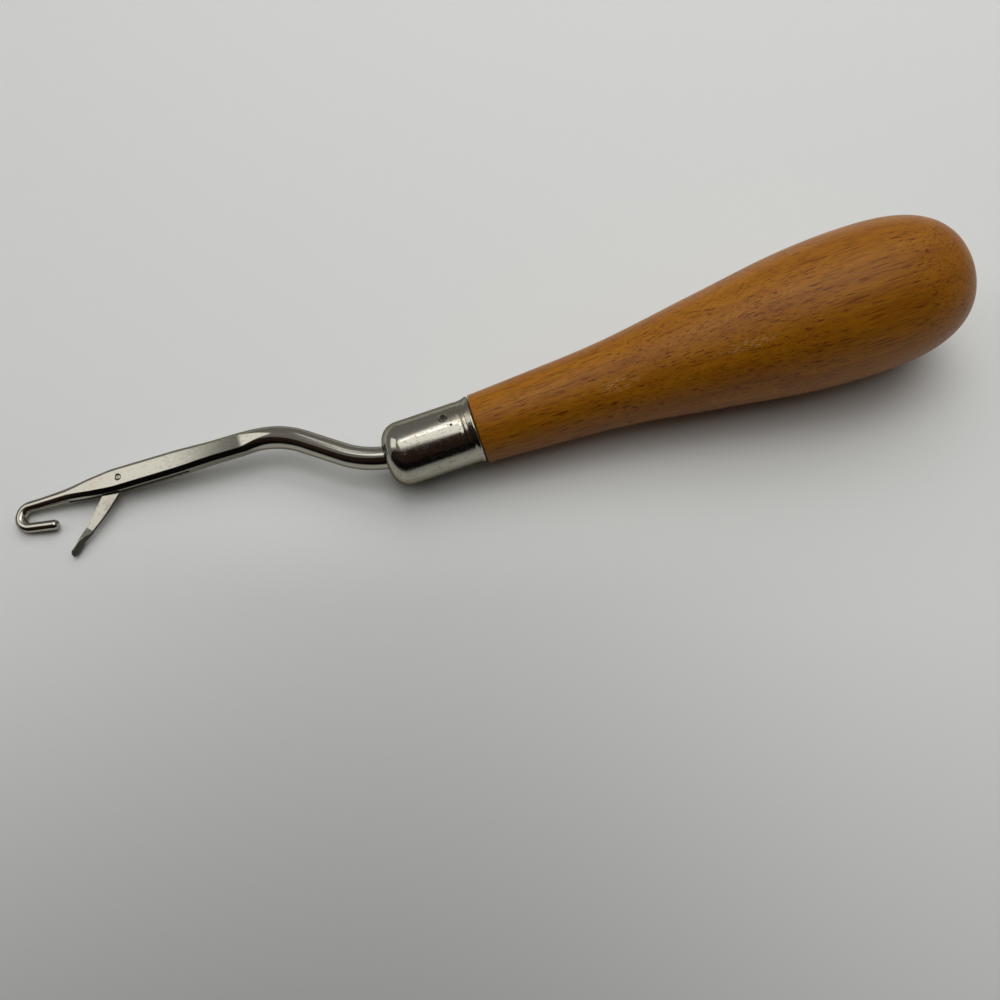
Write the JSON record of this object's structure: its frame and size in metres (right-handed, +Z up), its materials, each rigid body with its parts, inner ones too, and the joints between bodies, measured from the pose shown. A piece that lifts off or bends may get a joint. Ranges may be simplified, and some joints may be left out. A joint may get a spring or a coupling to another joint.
{
  "type": "latch hook",
  "caption": "Hand tool for knotting rug yarn: a turned wooden handle with a metal ferrule, and a cranked steel needle that ends in a round hook with a swinging latch.",
  "frame": {"origin": "centre of the base of the bounding box, on the surface that the tool lies on", "axes": "+X from the hook to the butt of the handle, +Y to the side that the blade is cranked to, +Z up, with the tool lying at rest on the handle's belly, the hook and the tip of the open latch"},
  "size_m": [0.173, 0.028, 0.0266],
  "materials": {
    "handle_wood": "clear-lacquered beech with short dark flecks along the grain",
    "ferrule_nickel": "drawn steel, bright nickel plate, faintly brushed along its length",
    "needle_nickel": "bright nickel-plated steel",
    "latch_nickel": "nickel-plated steel strip, lightly worn",
    "rivet_nickel": "nickel-plated steel pin"
  },
  "bodies": {
    "tool": {"handle": "handle_wood", "ferrule": "ferrule_nickel", "hook_needle": "needle_nickel", "latch_rivet": "rivet_nickel"},
    "latch": {"latch": "latch_nickel"}
  },
  "joints": [
    {"name": "latch_swing", "type": "hinge", "parent": "tool", "child": "latch", "pos_m": [-0.06598, 0.01167, 0.0029], "axis": [-0.0874, -0.0963, 0.9915], "range_deg": [-24, 116]}
  ]
}
